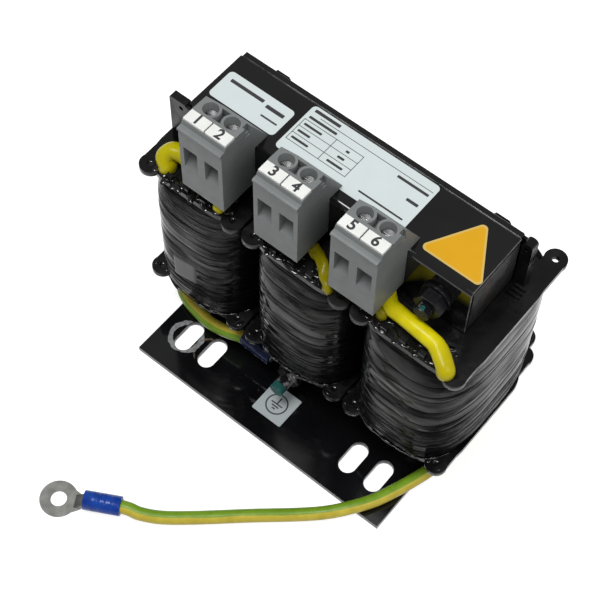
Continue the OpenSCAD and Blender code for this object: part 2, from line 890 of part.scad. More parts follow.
// Ring lug: flat ring on the XY plane about the origin, tongue and barrel along +X
module ring_lug() {
    barrel_z = sleeve_d / 2;
    difference() {
        union() {
            cylinder(d = ring_d, h = lug_t);
            linear_extrude(height = lug_t)
                polygon([[2, ring_d / 2 - 0.7], [sleeve_x - 1, 2.4], [sleeve_x - 1, -2.4], [2, 0.7 - ring_d / 2]]);
            translate([0, 2.2, 0])
                rotate([90, 0, 0])
                    linear_extrude(height = 4.4)
                        polygon([[sleeve_x - 3, 0], [sleeve_x - 0.6, 0], [sleeve_x + 0.2, barrel_z - 1],
                            [sleeve_x + 0.2, barrel_z], [sleeve_x - 0.6, barrel_z - 0.6], [sleeve_x - 3, lug_t]]);
            translate([sleeve_x, 0, barrel_z])
                rotate([0, 90, 0])
                    cylinder(r = barrel_r, h = sleeve_l / 2);
        }
        translate([0, 0, -1])
            cylinder(d = ring_hole_d, h = lug_t + 2);
    }
}

module lug_sleeve() {
    translate([sleeve_x + 0.3, 0, sleeve_d / 2])
        rotate([0, 90, 0])
            difference() {
                cylinder(d = sleeve_d, h = sleeve_l);
                translate([0, 0, -1])
                    cylinder(r = barrel_r + eps, h = sleeve_l);
                translate([0, 0, sleeve_l / 2])
                    cylinder(d = wire_d + slip, h = sleeve_l);
            }
}

module on_stud() {
    translate([earth_x, -lug_back_y, lower_bolt_z])
        rotate([90, 180, 0])
            children();
}

module at_free_end() {
    reach = sleeve_x + 0.3 + sleeve_l;
    translate([free_end[0] + reach * cos(free_turn), free_end[1] + reach * sin(free_turn), 0])
        rotate([0, 0, free_turn - 180])
            children();
}

module earth_lug() color(zinc) on_stud() ring_lug();
module earth_lug_sleeve() color(sleeve_blue) on_stud() lug_sleeve();
module free_lug() color(zinc) at_free_end() ring_lug();
module free_lug_sleeve() color(sleeve_blue) at_free_end() lug_sleeve();

module earth_lead() {
    color(earth_green)
        tube(wire_route, wire_d, wire_sides, wire_d);
}

e_core();
top_yoke();
gap_spacers();
foot_bracket_front();
foot_bracket_rear();
top_cover();
clamp_strip_rear();
bobbin_left();
bobbin_middle();
bobbin_right();
coil_left();
coil_middle();
coil_right();
terminal_block_1();
terminal_block_2();
terminal_block_3();
marker_tags_1();
marker_tags_2();
marker_tags_3();
terminal_screws_1();
terminal_screws_2();
terminal_screws_3();
clamp_cages_1();
clamp_cages_2();
clamp_cages_3();
start_lead_1();
start_lead_2();
start_lead_3();
end_lead_1();
end_lead_2();
end_lead_3();
upper_bolts();
upper_nuts();
upper_washers();
lower_bolts();
lower_nuts();
lower_washers();
earth_stud();
earth_nuts();
earth_washers();
earth_lug();
earth_lug_sleeve();
earth_lead();
free_lug();
free_lug_sleeve();
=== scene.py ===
import math
import random

import bmesh
import bpy
import numpy as np
from mathutils import Matrix, Vector


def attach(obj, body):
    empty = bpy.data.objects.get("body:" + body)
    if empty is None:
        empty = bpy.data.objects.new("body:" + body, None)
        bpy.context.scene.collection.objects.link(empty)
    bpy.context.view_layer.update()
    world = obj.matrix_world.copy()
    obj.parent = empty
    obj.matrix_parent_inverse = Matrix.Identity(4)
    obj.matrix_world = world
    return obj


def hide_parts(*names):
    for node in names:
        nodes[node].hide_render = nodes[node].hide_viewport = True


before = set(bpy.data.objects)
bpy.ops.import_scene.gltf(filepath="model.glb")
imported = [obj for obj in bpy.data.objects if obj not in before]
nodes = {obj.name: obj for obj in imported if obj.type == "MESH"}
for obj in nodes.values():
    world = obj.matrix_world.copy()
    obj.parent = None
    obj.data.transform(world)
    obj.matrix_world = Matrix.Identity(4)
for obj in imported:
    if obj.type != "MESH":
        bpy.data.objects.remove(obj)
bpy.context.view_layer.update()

MM = 0.001

# The photograph's camera, in millimetres and degrees
CAMERA_AT = (144.925, -208.073, 456.959)
CAMERA_TURN = 38.003
CAMERA_RISE = 59.434
CAMERA_ROLL = 1.430
CAMERA_LENS = 92.902

# Sizes that the CAD source gives, in millimetres
COIL_PITCH = 40.0
COIL_W = 39.5
COIL_D = 59.0
COIL_LOW = 23.5
COIL_HIGH = 78.7
FLANGE_Z = 80.7
FOOT_TOP = 2.0
COVER_TOP = 102.0
BLOCK_X = (-33.4, -6.3, 20.8)
BLOCK_W = 15.8
BLOCK_Z = 85.8
POLE = 3.9
LEAD_Y = -20.014
LANE_Z = 83.15
LEAD_D = 4.8
TAG_TOP = 115.3
TAG_Y = -22.5
EAR_X = 16.05
EAR_Y = 24.6
EAR_HOLE = 2.25
SLEEVE_L = 12.0
WIRE_D = 4.4

# Sizes of the scene's own fine forms, in millimetres. A drawn winding lies this far inside its solid,
# and its laps of tape rise and fall over these heights
COIL_INSET = 0.3
LAP_RISE = 0.36
LAP_FALL = 0.42
BEADS = 48
DIMPLES = 120
LABEL_T = 0.1
PRINT_T = 0.02
NUMERAL_H = 4.7
NUMERAL_BOLD = 0.14

# The power that makes a winding's plan a squared oval
COIL_POWER = 2 / 3

# Levels of the floor's paint, of the white that it shows and of the surround, and where the lamps point
FLOOR_PAINT = 0.55
FLOOR_GLOW = 0.74
SURROUND = 0.36
LAMP_AIM = (0, 0, 0.06)

# Route of the earth wire from the lug on the stud to the free lug, and how far left it may reach
WIRE_LEFT = -59.18
WIRE_ROUTE = [
    (-17, -23.1, 11.75), (-20, -23.2, 11.65), (-24, -23.8, 10.9), (-29, -24.6, 9.2),
    (-36, -24.6, 6.9), (-43, -23.2, 5.2), (-49, -21.5, 4.4), (-54, -18.4, 3.9),
    (-57.5, -12.5, 3.2), (-59.2, -5, 2.6), (-59.2, 4, 2.6), (-57.5, 12, 3.2),
    (-53.5, 18.5, 4), (-48, 23, 4.5), (-40, 25.5, 4.4), (-28, 26, 4.3),
    (-14, 26, 4.3), (0, 26, 4.3), (12, 26, 4.3), (24, 26, 4.3),
    (35.4, 25.7, 4.3), (44.6, 23.4, 4.4), (52.4, 15.8, 4.4), (53.5, 7, 3.4),
    (53.4, -2, 3), (53.2, -11, 3.6), (52.2, -19, 4.4), (50, -26.5, 4.4),
    (47.6, -33, 4.4), (44.9, -39.2, 4.4), (41.1, -45.2, 4.3), (36, -51.2, 3.3),
    (29.3, -57.3, 2.4), (17.4, -67.6, 2.3), (5.7, -78.1, 2.3), (-3.2, -85.5, 2.4),
    (-9.4, -89.2, 2.8), (-13, -90.3, 3.1), (-15.6, -91.4, 3.2), (-18.8, -93.1, 3.2),
]


def add_object(name, data):
    """A new object in the scene."""
    piece = bpy.data.objects.new(name, data)
    bpy.context.scene.collection.objects.link(piece)
    return piece


def make_camera():
    """The camera at the photograph's place, turned about its own axis by the roll."""
    turn = math.radians(CAMERA_TURN)
    rise = math.radians(CAMERA_RISE)
    roll = math.radians(CAMERA_ROLL)
    back = Vector((
        math.sin(turn) * math.cos(rise),
        -math.cos(turn) * math.cos(rise),
        math.sin(rise),
    ))
    level = Vector((math.cos(turn), math.sin(turn), 0))
    right = level * math.cos(roll) + back.cross(level) * math.sin(roll)
    up = back.cross(right)
    data = bpy.data.cameras.new("camera")
    data.sensor_width = 36
    data.lens = CAMERA_LENS
    data.clip_start = 0.01
    camera = add_object("camera", data)
    axes = Matrix((right, up, back)).transposed().to_4x4()
    camera.matrix_world = Matrix.Translation(Vector(CAMERA_AT) * MM) @ axes
    bpy.context.scene.camera = camera


class Look:
    """A node material, with short calls for the textures that most of them share."""

    def __init__(self, name, colour, rough, metal=0.0):
        self.material = bpy.data.materials.new(name)
        self.material.use_nodes = True
        self.tree = self.material.node_tree
        self.shader = self.tree.nodes["Principled BSDF"]
        self.shader.inputs["Base Color"].default_value = (*colour, 1)
        self.shader.inputs["Roughness"].default_value = rough
        self.shader.inputs["Metallic"].default_value = metal
        self.place = self.add("ShaderNodeTexCoord").outputs["Object"]

    def add(self, kind):
        return self.tree.nodes.new(kind)

    def set(self, socket, value):
        self.shader.inputs[socket].default_value = value

    def link(self, source, target):
        self.tree.links.new(source, target)

    def feed(self, source, socket):
        self.link(source, self.shader.inputs[socket])

    def stretched(self, stretch):
        """The place on the object, drawn out differently along each axis."""
        node = self.add("ShaderNodeMapping")
        node.inputs["Scale"].default_value = stretch
        self.link(self.place, node.inputs["Vector"])
        return node.outputs["Vector"]

    def noise(self, scale, detail=3.0, rough=0.55, stretch=None):
        node = self.add("ShaderNodeTexNoise")
        node.inputs["Scale"].default_value = scale
        node.inputs["Detail"].default_value = detail
        node.inputs["Roughness"].default_value = rough
        source = self.stretched(stretch) if stretch else self.place
        self.link(source, node.inputs["Vector"])
        return node.outputs["Fac"]

    def cells(self, scale):
        node = self.add("ShaderNodeTexVoronoi")
        node.inputs["Scale"].default_value = scale
        self.link(self.place, node.inputs["Vector"])
        return node.outputs["Distance"]

    def ramp(self, source, stops):
        """Colours or greys between the given places of a 0 to 1 value."""
        node = self.add("ShaderNodeValToRGB")
        band = node.color_ramp
        while len(band.elements) < len(stops):
            band.elements.new(0.5)
        for element, (at, value) in zip(band.elements, stops):
            element.position = at
            grey = isinstance(value, (int, float))
            element.color = (value, value, value, 1) if grey else (*value, 1)
        self.link(source, node.inputs["Fac"])
        return node.outputs["Color"]

    def calc(self, kind, a, b=0.0):
        """One step of arithmetic on two values, either of which may be a number."""
        node = self.add("ShaderNodeMath")
        node.operation = kind
        for socket, value in zip(node.inputs, (a, b)):
            if isinstance(value, (int, float)):
                socket.default_value = value
            else:
                self.link(value, socket)
        return node.outputs["Value"]

    def times(self, a, b):
        return self.calc("MULTIPLY", a, b)

    def plus(self, a, b):
        return self.calc("ADD", a, b)

    def minus(self, a, b):
        return self.calc("SUBTRACT", a, b)

    def over(self, a, b):
        return self.calc("GREATER_THAN", a, b)

    def under(self, a, b):
        return self.calc("LESS_THAN", a, b)

    def between(self, value, low, high):
        """1 where a value lies between two limits, and 0 elsewhere."""
        return self.times(self.over(value, low), self.under(value, high))

    def wobble(self, scale, detail, reach):
        """Noise that swings either way about nothing."""
        return self.times(self.minus(self.noise(scale, detail), 0.5), reach)

    def mottle(self, socket, low, high, scale, detail=3.0, rough=0.55, stretch=None, span=(0.3, 0.7)):
        """Feeds a socket with noise that runs from one value or colour to another over a span."""
        cloud = self.noise(scale, detail, rough, stretch)
        self.feed(self.ramp(cloud, [(span[0], low), (span[1], high)]), socket)

    def repeats(self, letter, pitch_mm):
        """0 to 1, over and over along an axis."""
        return self.calc("FRACT", self.times(self.axis(letter), 1 / (pitch_mm * MM)))

    def axis(self, letter):
        node = self.add("ShaderNodeSeparateXYZ")
        self.link(self.place, node.inputs["Vector"])
        return node.outputs[letter]

    def blend(self, mask, a, b):
        """Colour a where the mask is 0 and b where it is 1."""
        node = self.add("ShaderNodeMix")
        node.data_type = "RGBA"
        self.link(mask, node.inputs[0])
        for socket, value in zip((node.inputs[6], node.inputs[7]), (a, b)):
            if isinstance(value, tuple):
                socket.default_value = (*value, 1)
            else:
                self.link(value, socket)
        return node.outputs[2]

    def bump(self, height, strength, depth_mm):
        node = self.add("ShaderNodeBump")
        node.inputs["Strength"].default_value = strength
        node.inputs["Distance"].default_value = depth_mm * MM
        self.link(height, node.inputs["Height"])
        self.feed(node.outputs["Normal"], "Normal")

    def around(self, x, y):
        """Distance in the plan from an upright line, in metres."""
        dx = self.minus(self.axis("X"), x * MM)
        dy = self.minus(self.axis("Y"), y * MM)
        square = self.plus(self.calc("POWER", dx, 2.0), self.calc("POWER", dy, 2.0))
        return self.calc("SQRT", square)


def speckled(look, low, high, scales, speck_edge, most, speck_colour):
    """Colour of black lacquer, from low to high in clouds, with pale specks where it is thin."""
    cloud_scale, cell_scale, thin_scale = scales
    colour = look.ramp(look.noise(cloud_scale, 4), [(0.3, low), (0.75, high)])
    speck = look.ramp(look.cells(cell_scale), [(0.0, 1.0), (speck_edge[0], 1.0), (speck_edge[1], 0.0)])
    thin = look.ramp(look.noise(thin_scale, 2), [(0.62, 0.0), (0.68, most)])
    return look.blend(look.times(speck, thin), colour, speck_colour)


def lacquer_look(name, gloss):
    """Black stove lacquer on steel, smooth enough to mirror, with a few pale specks."""
    look = Look(name, (0.0035, 0.0035, 0.004), gloss)
    low = (0.0024, 0.0024, 0.0028)
    high = (0.0052, 0.0052, 0.0058)
    colour = speckled(look, low, high, (70, 260, 45), (0.04, 0.06), 0.45, (0.22, 0.22, 0.21))
    look.feed(colour, "Base Color")
    look.mottle("Roughness", gloss * 0.7, gloss * 1.6, 38, 5, 0.62, (1, 2.2, 1), (0.3, 0.72))
    look.bump(look.noise(900, 2), 0.04, 0.03)
    return look


def foot_look():
    """The foot's lacquer, rubbed through in a ring by a washer at one slot."""
    look = Look("foot_lacquer", (0.0035, 0.0035, 0.004), 0.09)
    low = (0.0022, 0.0023, 0.0027)
    high = (0.0052, 0.0053, 0.0060)
    colour = speckled(look, low, high, (60, 240, 40), (0.06, 0.085), 0.5, (0.32, 0.31, 0.29))
    above = look.over(look.axis("Z"), 1.9 * MM)
    far = look.plus(look.around(-40.9, -31.9), look.wobble(420, 3, 1.6 * MM))
    ring = look.times(look.between(far, 4.45 * MM, 6.1 * MM), above)
    ring = look.times(ring, look.ramp(look.noise(900, 3), [(0.25, 0.55), (0.6, 1.0)]))
    bare = look.ramp(look.noise(500, 3), [(0.3, (0.16, 0.165, 0.17)), (0.7, (0.27, 0.275, 0.28))])
    colour = look.blend(ring, colour, bare)
    scuff = look.between(look.around(-31.2, -31.5), 4.6 * MM, 5.3 * MM)
    left = look.under(look.axis("X"), -33.2 * MM)
    scuff = look.times(look.times(scuff, left), above)
    scuff = look.times(scuff, look.ramp(look.noise(800, 3), [(0.4, 0.0), (0.6, 0.8)]))
    colour = look.blend(scuff, colour, (0.17, 0.12, 0.09))
    look.feed(colour, "Base Color")
    smear = look.ramp(look.noise(30, 5, 0.62), [(0.3, 0.05), (0.72, 0.16)])
    look.feed(look.plus(smear, look.times(ring, 0.3)), "Roughness")
    look.bump(look.noise(900, 2), 0.05, 0.04)
    return look


def rubbed_and_highlit_edge_look():
    """The lacquer's bevelled edges, mottled from near black to grey: partly thin lacquer rubbed by
    handling, partly a painted highlight for the light line along the bends.
    """
    look = Look("lacquer_edge", (0.05, 0.05, 0.05), 0.35)
    # The grey in this mottle is partly a painted highlight along the edges.
    look.mottle("Base Color", (0.012, 0.012, 0.013), (0.15, 0.15, 0.15), 160, 4, 0.6, span=(0.38, 0.66))
    look.mottle("Roughness", 0.22, 0.45, 300, 2)
    return look


def core_look():
    """Laminations: thin sheets on edge along Y, black varnish with a trace of rust."""
    look = Look("core_laminations", (0.02, 0.02, 0.02), 0.4)
    groove = look.ramp(look.repeats("Y", 0.5), [(0.0, 0.0), (0.12, 1.0), (0.88, 1.0), (1.0, 0.0)])
    rust = look.ramp(look.noise(180, 5, 0.65), [(0.5, (0.014, 0.014, 0.015)), (0.72, (0.05, 0.03, 0.02))])
    look.feed(look.blend(groove, (0.004, 0.004, 0.004), rust), "Base Color")
    look.mottle("Roughness", 0.28, 0.55, 220)
    look.bump(groove, 0.5, 0.12)
    return look


def coil_look():
    """Glossy black varnish over wound tape: smooth bands, creased in places along the winding."""
    look = Look("coil_varnish", (0.004, 0.004, 0.0045), 0.12)
    # Painted reflection: the gloss fades towards the bottom of each winding, darkening it there to stand
    # for its mirror of the black foot.
    height = look.times(look.axis("Z"), 1 / (COIL_HIGH * MM))
    low_reflection_dimmed = look.ramp(height, [(0.36, 0.03), (0.62, 0.08)])
    patch = look.ramp(look.noise(45, 3, 0.6, (1, 1, 3)), [(0.42, 0.25), (0.60, 1.7)])
    # Painted reflection: the gloss is turned down on the far right of the right winding, dimming its
    # reflection there.
    right = look.times(look.axis("X"), 1 / (60 * MM))
    right_reflection_dimmed = look.ramp(right, [(0.74, 1.0), (0.90, 0.4)])
    look.feed(look.times(look.times(low_reflection_dimmed, patch), right_reflection_dimmed), "Specular IOR Level")
    low = (0.0022, 0.0022, 0.0026)
    high = (0.0065, 0.0065, 0.007)
    look.mottle("Base Color", low, high, 90, 4, 0.6, (1, 1, 3), (0.3, 0.75))
    look.mottle("Roughness", 0.03, 0.16, 110, 5, 0.65, (1, 1, 7), (0.34, 0.70))
    crease = look.ramp(look.noise(130, 3, 0.5, (1, 1, 10)), [(0.50, 0.0), (0.56, 1.0)])
    where = look.ramp(look.noise(26, 2), [(0.42, 0.0), (0.58, 1.0)])
    fine = look.times(look.noise(300, 4, 0.6, (1, 1, 4)), 0.35)
    look.bump(look.plus(fine, look.times(crease, where)), 0.6, 0.11)
    return look


def drop_look():
    """Varnish that has run into beads and set hard and bright."""
    look = Look("varnish_drops", (0.004, 0.004, 0.0045), 0.06)
    look.mottle("Base Color", (0.0025, 0.0025, 0.003), (0.008, 0.008, 0.0075), 200, span=(0.3, 0.75))
    look.mottle("Roughness", 0.03, 0.12, 260)
    look.bump(look.noise(800, 3), 0.15, 0.1)
    return look


def tape_look():
    """The dull end of a length of tape, stuck down on a winding."""
    look = Look("tape_end", (0.03, 0.03, 0.031), 0.42)
    look.set("Specular IOR Level", 0.3)
    look.mottle("Base Color", (0.024, 0.024, 0.025), (0.040, 0.040, 0.041), 240, 4)
    look.bump(look.noise(700, 3), 0.15, 0.1)
    return look


def bobbin_look():
    """Black glass-filled plastic under runs of clear varnish."""
    look = Look("bobbin_plastic", (0.006, 0.006, 0.0065), 0.3)
    look.set("Specular IOR Level", 0.25)
    look.mottle("Base Color", (0.003, 0.003, 0.0034), (0.008, 0.008, 0.0084), 60, 4, span=(0.3, 0.75))
    look.mottle("Roughness", 0.10, 0.42, 120, 4, 0.6, span=(0.38, 0.62))
    look.bump(look.noise(330, 5, 0.65), 0.25, 0.22)
    return look


def block_look():
    """Grey moulded polyamide with a fine spark-eroded grain."""
    look = Look("block_grey", (0.158, 0.168, 0.167), 0.45)
    look.set("Specular IOR Level", 0.25)
    look.mottle("Base Color", (0.143, 0.153, 0.152), (0.173, 0.183, 0.182), 120, 4, span=(0.25, 0.78))
    look.mottle("Roughness", 0.38, 0.52, 300)
    look.bump(look.noise(2600, 2), 0.08, 0.05)
    return look


def tag_look():
    """White snap-in marker tags."""
    look = Look("tag_white", (0.68, 0.69, 0.665), 0.4)
    look.mottle("Base Color", (0.65, 0.66, 0.635), (0.71, 0.72, 0.695), 200)
    look.bump(look.noise(1500, 2), 0.05, 0.03)
    return look


def print_look(name, colour):
    """Ink on a label or tag, a little uneven."""
    look = Look(name, colour, 0.5)
    low = tuple(v * 0.85 for v in colour)
    high = tuple(min(1, v * 1.15) for v in colour)
    look.mottle("Base Color", low, high, 900)
    return look


def label_look(name, colour):
    """Coated label stock with a faint mottle."""
    rough = 0.35
    look = Look(name, colour, rough)
    look.set("Specular IOR Level", 0.3)
    low = tuple(v * 0.95 for v in colour)
    look.mottle("Base Color", low, colour, 80, 4)
    look.mottle("Roughness", rough * 0.8, rough * 1.3, 140)
    look.bump(look.noise(600, 3), 0.06, 0.05)
    return look


def steel_look(name, varnish=0.0, paint_from=None, side=None, above=None):
    """Zinc-plated steel under patches of black varnish, with sealing paint in front of a place on Y,
    where asked only right of a place on X and above a place on Z."""
    look = Look(name, (0.5, 0.5, 0.5), 0.3, 0.92)
    if varnish:
        look.set("Specular IOR Level", 0.14)
    cloud = look.noise(260, 4, 0.6)
    colour = look.ramp(cloud, [(0.3, (0.34, 0.34, 0.35)), (0.7, (0.60, 0.60, 0.59))])
    metal = None
    if varnish:
        cover = look.ramp(look.noise(210, 4, 0.6), [(varnish - 0.05, 1.0), (varnish + 0.05, 0.0)])
        colour = look.blend(cover, colour, (0.006, 0.006, 0.007))
        metal = look.minus(1.0, cover)
    look.mottle("Roughness", 0.16, 0.40, 420)
    if paint_from is not None:
        edge = look.wobble(420, 3, 1.6 * MM)
        mask = look.under(look.plus(look.axis("Y"), edge), paint_from * MM)
        if side is not None:
            mask = look.times(mask, look.over(look.axis("X"), side * MM))
        if above is not None:
            mask = look.times(mask, look.over(look.plus(look.axis("Z"), edge), above * MM))
        paint = look.ramp(look.noise(300, 3), [(0.3, (0.008, 0.060, 0.055)), (0.7, (0.022, 0.125, 0.115))])
        colour = look.blend(mask, colour, paint)
        bare = look.minus(1.0, mask)
        metal = bare if metal is None else look.times(metal, bare)
    if metal is not None:
        look.feed(look.times(metal, 0.92), "Metallic")
    look.feed(colour, "Base Color")
    return look


def threaded(look):
    """A thread's ridges along Y, as relief."""
    ridge = look.ramp(look.repeats("Y", 0.8), [(0.0, 0.0), (0.5, 1.0), (1.0, 0.0)])
    look.bump(ridge, 0.9, 0.4)
    return look


def lug_look():
    """Dull tinned copper of the ring lugs."""
    look = Look("tinned_copper", (0.19, 0.19, 0.18), 0.45, 0.85)
    look.mottle("Base Color", (0.13, 0.13, 0.122), (0.24, 0.24, 0.228), 300, 5, 0.6)
    look.mottle("Roughness", 0.34, 0.55, 500)
    look.bump(look.noise(900, 3), 0.12, 0.08)
    return look


def sleeve_look(name, level, node, along):
    """Glossy blue insulation over the lug's barrel, pressed in two rings by the crimping tool."""
    look = Look(name, (0.006, 0.045, 0.30), 0.2)
    look.set("Specular IOR Level", 0.22)
    # Level scales the whole colour down; the earth lug's low level is painted shade over varnish soak.
    low = tuple(v * level for v in (0.004, 0.030, 0.22))
    high = tuple(v * level for v in (0.010, 0.065, 0.38))
    look.mottle("Base Color", low, high, 200, 4)
    look.mottle("Roughness", 0.14, 0.30, 350)
    corners = [Vector(corner) for corner in node.bound_box]
    middle = sum(corners, Vector()) / 8
    reach = look.plus(look.times(look.axis("X"), along[0]), look.times(look.axis("Y"), along[1]))
    reach = look.minus(reach, middle.x * along[0] + middle.y * along[1])
    part = look.plus(look.times(reach, 1 / (SLEEVE_L * MM)), 0.5)
    first = [(0.20, 1.0), (0.26, 0.0), (0.38, 0.0), (0.44, 1.0)]
    second = [(0.54, 1.0), (0.60, 0.2), (0.70, 0.2), (0.76, 1.0)]
    rings = look.ramp(part, first + second)
    look.bump(look.plus(rings, look.times(look.noise(420, 4), 0.4)), 0.6, 0.35)
    return look


def lead_look(name, level, dark_from=None):
    """Yellow glass-silk sleeving. Level scales the whole colour: a low level is painted shade for a lead
    that lies in a block's shade, over some varnish soak. Beyond a place on X it darkens further, painted
    shade for an end that faces down, with varnish soak.
    """
    shades = [(0.25, (0.54, 0.44, 0.003)), (0.5, (0.70, 0.61, 0.004)), (0.8, (0.78, 0.70, 0.007))]
    look = Look(name, shades[1][1], 0.3)
    look.set("Specular IOR Level", 0.16)
    stops = [(at, tuple(v * level for v in shade)) for at, shade in shades]
    colour = look.ramp(look.noise(150, 4), stops)
    if dark_from is not None:
        # Painted shade with some varnish soak: darker beyond dark_from, where the lead's end faces down.
        beyond = look.times(look.minus(look.axis("X"), dark_from * MM), 1 / (7 * MM))
        colour = look.blend(look.ramp(beyond, [(0.0, 0.0), (1.0, 0.75)]), colour, (0.36, 0.30, 0.002))
    look.feed(colour, "Base Color")
    look.mottle("Roughness", 0.18, 0.36, 300)
    look.bump(look.noise(520, 4), 0.25, 0.15)
    return look


def wire_look():
    """Earth wire: green with a yellow band along it, laid by the angle round the wire."""
    look = Look("earth_green_yellow", (0.2, 0.4, 0.03), 0.35)
    uv = look.add("ShaderNodeTexCoord").outputs["UV"]
    part = look.add("ShaderNodeSeparateXYZ")
    look.link(uv, part.inputs["Vector"])
    turn = look.calc("FRACT", look.plus(part.outputs["X"], look.wobble(90, 2, 0.05)))
    green = look.ramp(look.noise(240, 4), [(0.3, (0.12, 0.235, 0.010)), (0.7, (0.18, 0.305, 0.020))])
    yellow = look.ramp(look.noise(240, 4), [(0.3, (0.40, 0.32, 0.030)), (0.7, (0.52, 0.43, 0.050))])
    look.set("Specular IOR Level", 0.25)
    band = look.ramp(turn, [(0.0, 0.0), (0.28, 0.0), (0.30, 1.0), (0.70, 1.0), (0.72, 0.0)])
    look.feed(look.blend(band, green, yellow), "Base Color")
    look.mottle("Roughness", 0.28, 0.45, 380)
    look.bump(look.noise(700, 3), 0.10, 0.08)
    return look


def spacer_look():
    """Brown pressed board in the air gaps."""
    look = Look("spacer_board", (0.02, 0.015, 0.01), 0.5)
    look.mottle("Base Color", (0.010, 0.008, 0.006), (0.035, 0.026, 0.018), 500, 4)
    look.bump(look.noise(1500, 3), 0.2, 0.1)
    return look


def add_mesh(name, points, faces, material, smooth=False, uvs=None):
    """A new piece from points in millimetres, riding on the one body."""
    mesh = bpy.data.meshes.new(name)
    mesh.from_pydata([Vector(p) * MM for p in points], [], faces)
    if uvs is not None:
        layer = mesh.uv_layers.new(name="UVMap")
        for loop in mesh.loops:
            layer.data[loop.index].uv = uvs[loop.vertex_index]
    for polygon in mesh.polygons:
        polygon.use_smooth = smooth
    mesh.validate()
    mesh.update()
    piece = add_object(name, mesh)
    mesh.materials.append(material)
    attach(piece, "root")
    return piece


def grid_faces(rows, across, closed, first=0):
    """Faces of a grid of points, row by row; closed joins the end of each row to its start."""
    faces = []
    for i in range(rows - 1):
        for k in range(across if closed else across - 1):
            a = first + i * across + k
            b = first + i * across + (k + 1) % across
            faces.append((a, b, b + across, a + across))
    return faces


def on_curve(p, i, t):
    """A point of the smooth curve through p[i] and p[i + 1]."""
    a = p[max(i - 1, 0)]
    b = p[i]
    c = p[i + 1]
    d = p[min(i + 2, len(p) - 1)]
    square = 2 * a - 5 * b + 4 * c - d
    cube = 3 * b - 3 * c + d - a
    return 0.5 * (2 * b + (c - a) * t + square * t * t + cube * t ** 3)


def smooth_path(points, steps):
    """Points along the smooth curve through the points given, so many to each stretch."""
    p = [np.array(q, float) for q in points]
    path = []
    for i in range(len(p) - 1):
        for k in range(steps):
            path.append(on_curve(p, i, k / steps))
    path.append(p[-1])
    return path


def path_length(path):
    return sum(float(np.linalg.norm(b - a)) for a, b in zip(path, path[1:]))


def tube(name, path, radius, sides, material, stripe=None, fold=0.0, flat=0.0):
    """A tube along a path, closed at both ends. Radius is a function of the part of its length, stripe
    gives the way a stripe on it faces there, fold wrinkles it and flat presses it down."""
    last = len(path) - 1
    normal = np.array((0.2, 1.0, 0.3))
    points = []
    uvs = []
    run = 0.0
    shift = 0.0
    total = path_length(path)
    for i, at in enumerate(path):
        along = path[min(i + 1, last)] - path[max(i - 1, 0)]
        along = along / np.linalg.norm(along)
        normal = normal - along * float(normal @ along)
        normal = normal / np.linalg.norm(normal)
        side = np.cross(along, normal)
        if i:
            run += float(np.linalg.norm(at - path[i - 1]))
        part = run / total
        r = radius(part)
        if stripe is not None:
            facing = stripe(part)
            turned = math.atan2(float(facing @ side), float(facing @ normal)) / (2 * math.pi)
            shift += (1.0 - turned - shift) % 1 - 0.5
        for k in range(sides + 1):
            turn = 2 * math.pi * k / sides
            wave = math.cos(2 * turn + 7 * part) * math.sin(11 * part + 1)
            wave += 0.7 * math.cos(3 * turn - 9 * part) * math.sin(19 * part)
            out = r * (1 + fold * wave) * (math.cos(turn) * normal + math.sin(turn) * side)
            out[2] *= 1 - flat
            points.append(at + out)
            uvs.append((k / sides + shift, part))
    ring = sides + 1
    faces = grid_faces(len(path), ring, False)
    faces.append(list(range(sides - 1, -1, -1)))
    faces.append([last * ring + k for k in range(sides)])
    piece = add_mesh(name, points, faces, material, True, uvs)
    mesh = bmesh.new()
    mesh.from_mesh(piece.data)
    bmesh.ops.remove_doubles(mesh, verts=mesh.verts, dist=1e-7)
    mesh.to_mesh(piece.data)
    mesh.free()
    return piece


def make_wire(look):
    """The earth wire, drawn as a tube from the lug on the stud to the free lug."""
    path = smooth_path(WIRE_ROUTE, 6)
    for point in path:
        point[0] = max(point[0], WIRE_LEFT)
    first = np.array((0.0, 0.68, 0.74))
    final = np.array((0.64, -0.75, -0.16))
    turns_from = 0.24
    turns_over = 0.3

    def stripe(part):
        share = min(1.0, max(0.0, (part - turns_from) / turns_over))
        return first * (1 - share) + final * share

    def radius(part):
        return WIRE_D / 2

    piece = tube("earth_wire", path, radius, 20, look.material, stripe)
    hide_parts("earth_lead")


def lead_route(block, side, way, end):
    """Points of a coil lead: out of the block's foot, by the way given, to the flange."""
    x = BLOCK_X[block] + side * POLE
    start = [(x, LEAD_Y, BLOCK_Z + 2.5), (x, LEAD_Y, BLOCK_Z + 0.6)]
    middle = [(x + dx, LEAD_Y + dy, LANE_Z + dz) for dx, dy, dz in way]
    stop = [(end[0], end[1], FLANGE_Z + LEAD_D / 3), (end[0], end[1], FLANGE_Z + 0.01)]
    return start + middle + stop


